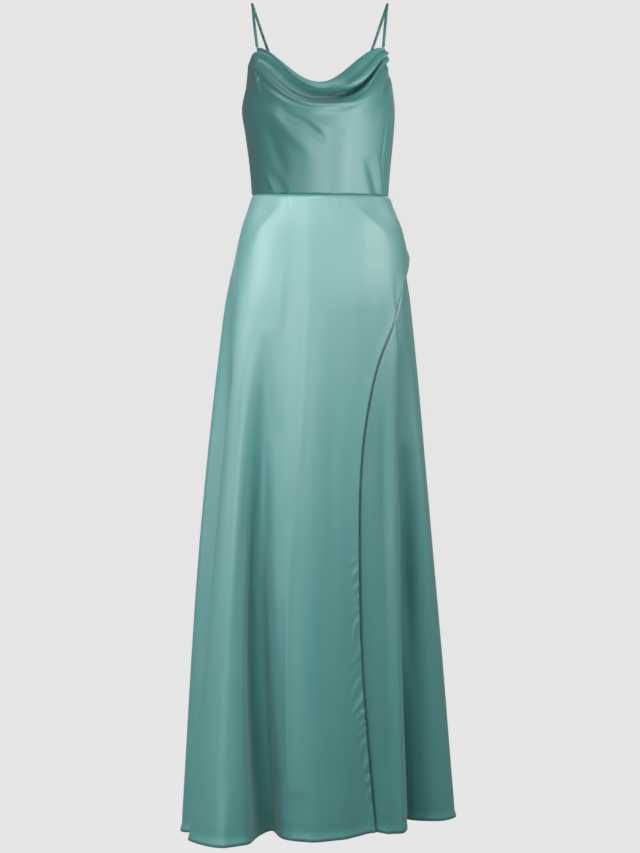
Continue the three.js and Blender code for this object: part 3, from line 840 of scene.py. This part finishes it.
def skirt_shape(first, last, seams):
    """The shape function of a skirt panel between two fold lines."""

    def shape(u, v):
        level = skirt_level(v)
        line = mix(first + SEAM_HALF_LINE, last - SEAM_HALF_LINE, u)
        plain = skirt_point(line, level)
        stand = skirt_waves(plain, level, line) + skirt_edges(line, level, seams)
        if first == UNDERLAP_EDGE:
            stand -= slit_recess(plain, level)
        return skirt_point(line, level, stand)

    return shape


def slit_recess(plain, level):
    """The under panel hangs a little back from the wrapped front's free edge."""
    last = slit_line(level)
    edge = skirt_point(last, level, wrap_stand(last))
    beside = plain[:, 0] - edge[:, 0]
    below = ramp(-level, -HIP_CORNER_Z, -HIP_CORNER_Z + RECESS_START)
    slope = sum(depth * (1 - ramp(beside, near, far)) for depth, near, far in RECESSES)
    return below * ramp(beside, *RECESS_BEHIND) * slope


def edge_pulls(distance, level):
    """Small diagonal pull wrinkles along the slit edge, and the line of its facing."""
    slant = (level + EDGE_PULLS["slant"] * distance) / EDGE_PULLS["spacing"]
    uneven = slant + 0.5 * np.sin(level / 41) + 0.3 * np.sin(level / 17 + 1)
    size = 0.6 + 0.4 * np.sin(level / 29 + 2) * np.sin(level / 71)
    reach = 1 - ramp(distance, 9, 24 + 12 * np.sin(level / 53))
    strength = ramp(-level, EDGE_PULLS["starts"], EDGE_PULLS["full"]) * ramp(level, HEM_Z, HEM_Z + 10)
    waves = (0.5 + 0.5 * np.sin(uneven * 2 * math.pi)) ** 2
    wrinkles = EDGE_PULLS["height"] * strength * size * reach * waves
    on_facing = 1 - ramp(distance, FACING["width"], FACING["width"] + FACING["soft"])
    return wrinkles + FACING["height"] * on_facing * (level < HIP_CORNER_Z - FACING["top"])


def wrap_shape(u, v):
    level = skirt_level(v)
    last = slit_line(level)
    line = mix(SEAM_HALF_LINE, last - SEAM_HALF_LINE, edge_dense(u, CROWD_WRAP))
    lift = wrap_stand(line)
    plain = skirt_point(line, level, lift)
    edge = np.linalg.norm(plain - skirt_point(last, level, lift), axis=1)
    stand = lift + skirt_waves(plain, level, line) + skirt_edges(line, level, [0])
    free_edge = (
        edge_pulls(edge, level)
        + turned_edge(edge, FREE_EDGE["roll"])
        + FREE_EDGE["lift"] * hump(edge, FREE_EDGE["lift_reach"])
    )
    stand += np.where(level < HIP_CORNER_Z, free_edge, 0)
    stand += np.where(level < HIP_CORNER_Z, 0, seam_groove(edge))
    corner = hump(level - HIP_CORNER_Z + CORNER_FOLD["below"], CORNER_FOLD["tall"])
    stand += CORNER_FOLD["height"] * corner * hump(line - LEFT_SEAM, CORNER_FOLD["wide"])
    return skirt_point(line, level, stand)


# Straps

STRAP_CLOTH = 0.5
STRAP_SECTION = (1.04, 0.82)


def strap_route(side, samples):
    sign = 1 if side == "left" else -1
    across = np.array([1 - STRAP_BACK_ACROSS if side == "left" else STRAP_BACK_ACROSS])
    back_foot = back_point(across, np.zeros(1))[0] + (0, -1, STRAP_FOOT_RISE)
    front_foot = (
        STRAP_CORNER[side] - sign * STRAP_FOOT_IN,
        STRAP_CORNER["y"] + STRAP_FOOT_DEPTH,
        STRAP_CORNER["z"] + STRAP_FOOT_RISE,
    )
    stops = [front_foot, *((sign * x, y, z) for x, y, z in STRAP_ROUTE), back_foot]
    stops = np.array(stops, float)
    stops = np.concatenate([2 * stops[:1] - stops[1:2], stops, 2 * stops[-1:] - stops[-2:-1]])
    place = np.clip(samples, 0, 1) * (len(stops) - 3)
    low = np.minimum(np.floor(place).astype(int), len(stops) - 4)
    return catmull_rom(*(stops[low + step] for step in range(4)), place - low)


def strap_shape(side):
    """A turned strip: slightly flat in section, with the ridge of its seam along the inside."""

    def shape(u, v):
        centre = strap_route(side, v)
        along = strap_route(side, v + 0.004) - strap_route(side, v - 0.004)
        along /= np.linalg.norm(along, axis=1, keepdims=True)
        out = np.cross(along, (1.0, 0.0, 0.0))
        out /= np.linalg.norm(out, axis=1, keepdims=True)
        wide = np.cross(out, along)
        turn = 2 * math.pi * u + 0.5 * np.sin(7 * v + (1 if side == "left" else 4))
        ridge = 0.25 * hump(np.cos(turn) + 1, 0.05)
        radius = 1 + ridge + 0.03 * np.sin(60 * v + 2 * np.sin(23 * v))
        across = STRAP_RADIUS * STRAP_SECTION[0] * radius * np.cos(turn)
        through_it = STRAP_RADIUS * STRAP_SECTION[1] * radius * np.sin(turn)
        return centre + wide * across[:, None] + out * through_it[:, None]

    return shape


def close_tube(piece):
    form = bmesh.new()
    form.from_mesh(piece.data)
    bmesh.ops.remove_doubles(form, verts=form.verts, dist=1e-5)
    bmesh.ops.recalc_face_normals(form, faces=form.faces)
    form.to_mesh(piece.data)
    form.free()
    return piece


# What each piece was cut to, width, length and area in metres, then columns and rows of its grid
CUTS = {
    "bodice_front": (0.40, 0.42, 0.115, 180, 170),
    "bodice_back": (0.20, 0.20, 0.035, 90, 100),
    "skirt_front_wrap": (0.62, 1.18, 0.50, 230, SKIRT_ROWS),
    "skirt_underlap": (0.40, 1.16, 0.32, 120, SKIRT_ROWS),
    "skirt_back": (0.42, 1.17, 0.33, 110, SKIRT_ROWS),
    "strap": (0.014, 0.37, None, 16, 220),
    "zip_tape": (0.022, 0.353, None, 30, 180),
}


def cloth_piece(node, cut, shape, material, slot, hangs_from, thickness=CLOTH, tube=False):
    width, length, area, *grid = CUTS[cut]
    piece = cloth_grid(f"{node}_cloth", *grid, shape, (width, length), material)
    if tube:
        close_tube(piece)
    give_thickness(piece, thickness)
    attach(piece, "garment")
    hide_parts(node)
    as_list(hangs_from)
    return piece


def make_straps():
    looks = (STRAP_SATIN, "strap_satin", [], STRAP_CLOTH)
    for side in ("right", "left"):
        yield cloth_piece(f"strap_{side}", "strap", strap_shape(side), *looks, tube=True)


def make_bodice():
    straps = ["strap_right_cloth", "strap_left_cloth"]
    looks = (BODICE_SATIN, "bodice_satin", straps)
    yield cloth_piece("bodice_front", "bodice_front", bodice_front_shape, *looks)
    for side in ("right", "left"):
        yield cloth_piece(f"bodice_back_{side}", "bodice_back", bodice_back_shape(side), *looks)


def make_skirt():
    above = ["bodice_front_cloth", "bodice_back_right_cloth", "bodice_back_left_cloth"]
    looks = (SKIRT_SATIN, "skirt_satin", above)
    yield cloth_piece("skirt_front_wrap", "skirt_front_wrap", wrap_shape, *looks)
    panels = {
        "skirt_underlap": ("skirt_underlap", UNDERLAP_EDGE, LEFT_SEAM, [LEFT_SEAM]),
        "skirt_back_left": ("skirt_back", LEFT_SEAM, CENTRE_BACK, [LEFT_SEAM, CENTRE_BACK]),
        "skirt_back_right": ("skirt_back", CENTRE_BACK, LINE_COUNT, [CENTRE_BACK, LINE_COUNT]),
    }
    for node, (cut, first, last, seams) in panels.items():
        yield cloth_piece(node, cut, skirt_shape(first, last, seams), *looks)


# Zip: the tape and its coil inside the centre back seam, the slider and the pull outside it
ZIP_WIDTH = 22
ZIP_BEHIND = 3.0
ZIP_TOP_Z = UNDERARM_Z - BACK_TOP_DIP - 3
TAPE_CLOTH = 0.6
TAPE_RIB = {"height": 0.12, "spacing": 2.2}
TAPE_WAVE = {"height": 0.25, "length": 13}
COIL = {"reach": 1.6, "rise": 0.7, "wire": 0.36, "pitch": 1.6, "margin": 4, "inside": 1.5, "taper": 400}
COIL_CUT = (0.002, CUTS["zip_tape"][1])
COIL_GRID = (5, 2160)
SLIDER = {"width": 6.4, "height": 9, "base": 1.6, "rounding": 0.6}
EAR = {"width": 1.1, "height": 3.2, "past_pin": 0.6, "rounding": 0.35}
PIN = {"radius": 0.75, "rise": 1.5, "stand_off": 2.3}
PULL = {"half": 1.8, "length": 15, "neck": 3.5, "tip": 2.6, "thick": 1.3, "rounding": 0.35}
KNUCKLE = {"hole": 1.1, "radius": 1.9, "chamfer": 0.25}
SLIDER_Z = UNDERARM_Z - BACK_TOP_DIP - 9
SLIDER_SEAT = bodice_side(np.array([SLIDER_Z - SLIDER["height"] / 2]))[2][0] + SEAM_GAP
PIVOT = Vector((0, SLIDER_SEAT + SLIDER["base"] + PIN["stand_off"], SLIDER_Z + PIN["rise"]))


def back_depth(x, level):
    """How far back the outside of the back panels lies, a little way across from the centre back."""
    _, left, back = bodice_side(np.maximum(level, WAIST_Z))
    bodice = back * np.sqrt(1 - (x / left) ** 2)
    near = [skirt_point(np.full(len(level), CENTRE_BACK + step), level) for step in (-0.5, 0, 0.5)]
    skirt = np.zeros(len(level))
    for here in near:
        share = np.ones(len(level))
        for other in near:
            if other is not here:
                share *= (x - other[:, 0]) / (here[:, 0] - other[:, 0])
        skirt += share * here[:, 1]
    return np.where(level > WAIST_Z, bodice, skirt)


def tape_shape(u, v):
    x = mix(ZIP_WIDTH / 2, -ZIP_WIDTH / 2, u)
    level = mix(ZIP_TOP_Z, ZIP_END_Z, v)
    rib = TAPE_RIB["height"] * np.cos(2 * math.pi * x / TAPE_RIB["spacing"])
    wave = TAPE_WAVE["height"] * (2 * x / ZIP_WIDTH) ** 2 * np.sin(level / TAPE_WAVE["length"])
    return np.column_stack([x, back_depth(x, level) - ZIP_BEHIND + rib + wave, level])


def coil_shape(u, v):
    """Wire wound from side to side of the zip's middle, thinned to a point at each end."""
    level = mix(ZIP_TOP_Z - COIL["margin"], ZIP_END_Z + COIL["margin"], v)
    wound = 2 * math.pi * (ZIP_TOP_Z - level) / COIL["pitch"]
    wire = COIL["wire"] * np.clip(COIL["taper"] * np.minimum(v, 1 - v), 0, 1)
    turn = 2 * math.pi * u
    out = 1 + wire / COIL["reach"] * np.cos(turn)
    x = COIL["reach"] * out * np.sin(wound)
    depth = back_depth(np.zeros(len(u)), level) - ZIP_BEHIND - COIL["inside"]
    y = depth + COIL["rise"] * np.cos(wound) + wire * np.cos(turn) * np.cos(wound)
    return np.column_stack([x, y, level + wire * np.sin(turn)])


def bevel(form, edges, width):
    bmesh.ops.bevel(
        form, geom=edges, affect="EDGES", offset=width, segments=3, profile=0.5, material=-1
    )


def full_spin(form, geom, centre, axis, steps):
    bmesh.ops.spin(
        form, geom=geom, cent=centre, axis=axis, angle=2 * math.pi, steps=steps, use_merge=True
    )


def metal_block(form, size, place, rounding):
    made = bmesh.ops.create_cube(form, size=1)["verts"]
    bmesh.ops.scale(form, vec=size, verts=made)
    bmesh.ops.translate(form, vec=place, verts=made)
    bevel(form, list({edge for vert in made for edge in vert.link_edges}), rounding)


def slider_form(form):
    base_size = (SLIDER["width"], SLIDER["base"], SLIDER["height"])
    base_place = (0, SLIDER_SEAT + SLIDER["base"] / 2, SLIDER_Z)
    metal_block(form, base_size, base_place, SLIDER["rounding"])
    ear_depth = PIVOT.y + PIN["radius"] + EAR["past_pin"] - SLIDER_SEAT
    ear_size = (EAR["width"], ear_depth, EAR["height"])
    ear_x = (SLIDER["width"] - EAR["width"]) / 2
    for x in (-ear_x, ear_x):
        metal_block(form, ear_size, (x, SLIDER_SEAT + ear_depth / 2, PIVOT.z), EAR["rounding"])
    bmesh.ops.create_cone(
        form,
        cap_ends=True,
        segments=24,
        radius1=PIN["radius"],
        radius2=PIN["radius"],
        depth=SLIDER["width"] - EAR["width"],
        matrix=Matrix.Translation(PIVOT) @ Matrix.Rotation(math.pi / 2, 4, "Y"),
    )


def pull_side():
    """The tab's edge from its top down to the start of its round tip."""
    half, tip, low = PULL["half"], PULL["tip"], PULL["tip"] - PULL["length"]
    bend = [(half, -PULL["neck"]), (tip, -PULL["length"] / 2), (tip, low)]
    side = [(half, 0)]
    for t in np.linspace(0, 1, 7):
        side.append(
            tuple((1 - t) ** 2 * a + 2 * t * (1 - t) * b + t**2 * c for a, b, c in zip(*bend))
        )
    return side


def pull_form(form):
    side = pull_side()
    tip, low = PULL["tip"], PULL["tip"] - PULL["length"]
    turns = np.linspace(0, math.pi, 13)[1:-1]
    arc = [(tip * math.cos(turn), low - tip * math.sin(turn)) for turn in turns]
    outline = side + arc + [(-x, z) for x, z in reversed(side)]
    near = [form.verts.new((x, PIVOT.y - PULL["thick"] / 2, PIVOT.z + z)) for x, z in outline]
    tab = form.faces.new(near)
    grown = bmesh.ops.extrude_face_region(form, geom=[tab])["geom"]
    far = [part for part in grown if isinstance(part, bmesh.types.BMVert)]
    bmesh.ops.translate(form, vec=(0, PULL["thick"], 0), verts=far)
    rims = [edge for edge in form.edges if abs(edge.verts[0].co.y - edge.verts[1].co.y) < 1e-6]
    bevel(form, rims, PULL["rounding"])
    bmesh.ops.recalc_face_normals(form, faces=form.faces)
    knuckle_form(form)


def knuckle_form(form):
    """The ring round the slider's pin, as a full turn of its section."""
    half, hole, outer, cut = PULL["half"], *KNUCKLE.values()
    section = [
        (-half + cut, hole), (half - cut, hole), (half, hole + cut), (half, outer - cut),
        (half - cut, outer), (cut - half, outer), (-half, outer - cut), (-half, hole + cut),
    ]
    ring = [form.verts.new((x, PIVOT.y + r, PIVOT.z)) for x, r in section]
    edges = [form.edges.new((a, b)) for a, b in zip(ring, ring[1:] + ring[:1])]
    full_spin(form, ring + edges, PIVOT, (1, 0, 0), 28)


def metal_piece(node, body, build):
    form = bmesh.new()
    build(form)
    bmesh.ops.scale(form, vec=(MM, MM, MM), verts=form.verts)
    piece = finish_mesh(f"{node}_metal", form, ZIP_METAL)
    piece.modifiers.new("even shading", "WEIGHTED_NORMAL")
    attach(piece, body)
    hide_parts(node)
    return piece


def make_zip():
    backs = ["bodice_back_right_cloth", "bodice_back_left_cloth"]
    looks = (ZIP_CLOTH, "zip_tape", backs, TAPE_CLOTH)
    yield cloth_piece("zip_tape", "zip_tape", tape_shape, *looks)
    coil = cloth_grid("zip_coil", *COIL_GRID, coil_shape, COIL_CUT, ZIP_METAL)
    close_tube(coil)
    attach(coil, "garment")
    yield coil
    yield metal_piece("zip_slider", "garment", slider_form)
    yield metal_piece("zip_pull", "pull", pull_form)


# Studio

CAMERA_BACK = 4.2
CAMERA_Z = -0.766
LENS = 97.4
SENSOR = 36
PALE_STUDIO = {
    "Base Color": (0.02, 0.02, 0.02, 1),
    "Roughness": 0.9,
    "Specular IOR Level": 0.0,
    "Emission Color": (0.799, 0.799, 0.799, 1),
    "Emission Strength": 0.98,
}
WORLD_LIGHT = {"Color": (0.9, 0.94, 0.95, 1), "Strength": 0.1}
STUDIO = {"floor": -1.6, "reach": 9.0, "cove": 2.0, "height": 9.0}


def make_camera():
    data = bpy.data.cameras.new("camera")
    data.lens = LENS
    data.sensor_width = SENSOR
    camera = bpy.data.objects.new("camera", data)
    camera.location = (0, -CAMERA_BACK, CAMERA_Z)
    camera.rotation_euler = (math.radians(90), 0, 0)
    bpy.context.scene.collection.objects.link(camera)
    bpy.context.scene.camera = camera


def area_light(name, place, target_z, size, power):
    data = bpy.data.lights.new(name, "AREA")
    data.shape = "RECTANGLE"
    data.size, data.size_y = size
    data.energy = power
    light = bpy.data.objects.new(name, data)
    light.location = place
    direction = Vector((0, 0, target_z)) - Vector(place)
    light.rotation_euler = direction.to_track_quat("-Z", "Y").to_euler()
    bpy.context.scene.collection.objects.link(light)
    return light


# Softboxes: name, place, height of the target, width and height, watts. The bodice and the skirt have
# their own front lights, as flags in a studio keep each light off what it isn't meant for.
BODICE_LIGHTS = [
    ("low front", (0.3, -2.4, -1.9), -0.3, (1.4, 0.6), 20),
    ("low right", (1.8, -2, -1.3), -0.4, (0.6, 0.6), 20),
    ("under", (0.6, -2.6, -1.5), -0.3, (0.6, 0.4), 10),
    ("high left", (-2, -1.9, 1.2), -0.5, (0.7, 0.7), 15),
    ("right", (2.2, -1.4, -0.7), -0.4, (0.5, 0.7), 15),
    ("high", (0, -1.9, 1.2), -0.5, (0.7, 0.7), 10),
    ("left", (-2.2, -1.4, 0.5), -0.45, (0.5, 0.7), 7),
    ("front right", (1.1, -2.6, -0.2), -0.6, (0.6, 0.6), 9),
    ("side", (2.6, -0.6, -0.2), -0.6, (0.5, 1.4), 11),
    ("low left", (-1.8, -2, -1.3), -0.4, (0.6, 0.6), 3),
]
SKIRT_LIGHTS = [
    ("left", (-1.1, -2.6, -0.2), -0.6, (0.6, 0.6), 19),
    ("high", (0, -1.9, 1.2), -0.5, (0.7, 0.7), 18),
    ("side left", (-2.2, -1.4, 0.5), -0.45, (0.5, 0.7), 24),
    ("side right", (2.2, -1.4, 0.5), -0.45, (0.5, 0.7), 25),
    ("right", (1.1, -2.6, -0.2), -0.6, (0.6, 0.6), 7),
    ("key right", (1.1, -2.7, 0.6), -0.6, (0.6, 0.6), 10),
    ("high left", (-1, -1.9, 1.2), -0.5, (0.7, 0.7), 12),
    ("left strip", (-2.6, -0.6, -0.2), -0.6, (0.5, 1.4), 12),
    ("far left", (-2, -1.9, 1.2), -0.5, (0.7, 0.7), 15),
    ("hip left", (-2.4, 0.5, 1.4), -0.4, (0.8, 0.8), 14),
    ("hip right", (2.4, 0.5, 1.4), -0.4, (0.8, 0.8), 14),
    ("low left", (-1.8, -2, -1.3), -0.4, (0.6, 0.6), 5),
    ("front", (0, -2.7, 0.6), -0.6, (0.6, 0.6), 4),
    ("right strip", (2.6, -0.6, -0.2), -0.6, (0.5, 1.4), 9),
]
BACK_LIGHTS = [
    ("key", (0.5, 2.8, 0.8), -0.5, (0.9, 0.9), 22),
    ("fill", (-0.5, 2.7, -0.5), -0.8, (0.9, 0.9), 12),
]


def light_set(name, table):
    return [area_light(f"{name} {own}", *row) for own, *row in table]


def light_only(lights, name, pieces):
    receivers = bpy.data.collections.new(name)
    for piece in pieces:
        receivers.objects.link(piece)
    for light in lights:
        light.light_linking.receiver_collection = receivers


def make_lights(bodice, skirt):
    light_only(light_set("bodice", BODICE_LIGHTS), "bodice lights", bodice)
    light_only(light_set("skirt", SKIRT_LIGHTS), "skirt lights", skirt)
    light_set("back", BACK_LIGHTS)
    world = bpy.data.worlds.new("studio")
    world.use_nodes = True
    set_inputs(world.node_tree.nodes["Background"], WORLD_LIGHT)
    bpy.context.scene.world = world


def studio_profile():
    """Half a section of the studio: flat floor, cove, and a dome above."""
    floor, reach, cove, height = STUDIO.values()
    bend = np.linspace(0, math.pi / 2, 10)
    profile = [(0, floor)]
    profile += [(reach - cove + math.sin(a) * cove, floor + cove - math.cos(a) * cove) for a in bend]
    profile += [(reach * math.cos(a), height * math.sin(a) + 1) for a in bend]
    return profile


def make_studio():
    material, _, _, shader = new_material("pale studio")
    set_inputs(shader, PALE_STUDIO)
    form = bmesh.new()
    verts = [form.verts.new((0, y, z)) for y, z in studio_profile()]
    edges = [form.edges.new(pair) for pair in zip(verts[:-1], verts[1:])]
    full_spin(form, verts + edges, (0, 0, 0), (0, 0, 1), 48)
    bmesh.ops.remove_doubles(form, verts=form.verts, dist=1e-5)
    bmesh.ops.recalc_face_normals(form, faces=form.faces)
    floor = finish_mesh("studio_floor", form, material)
    floor.visible_diffuse = False
    floor.visible_glossy = False
    floor.visible_shadow = False


make_camera()
bodice_pieces = [*make_straps(), *make_bodice(), *make_zip()]
skirt_pieces = list(make_skirt())
make_lights(bodice_pieces, skirt_pieces)
make_studio()

scene = bpy.context.scene
scene.view_settings.view_transform = "Standard"
scene.view_settings.look = "None"
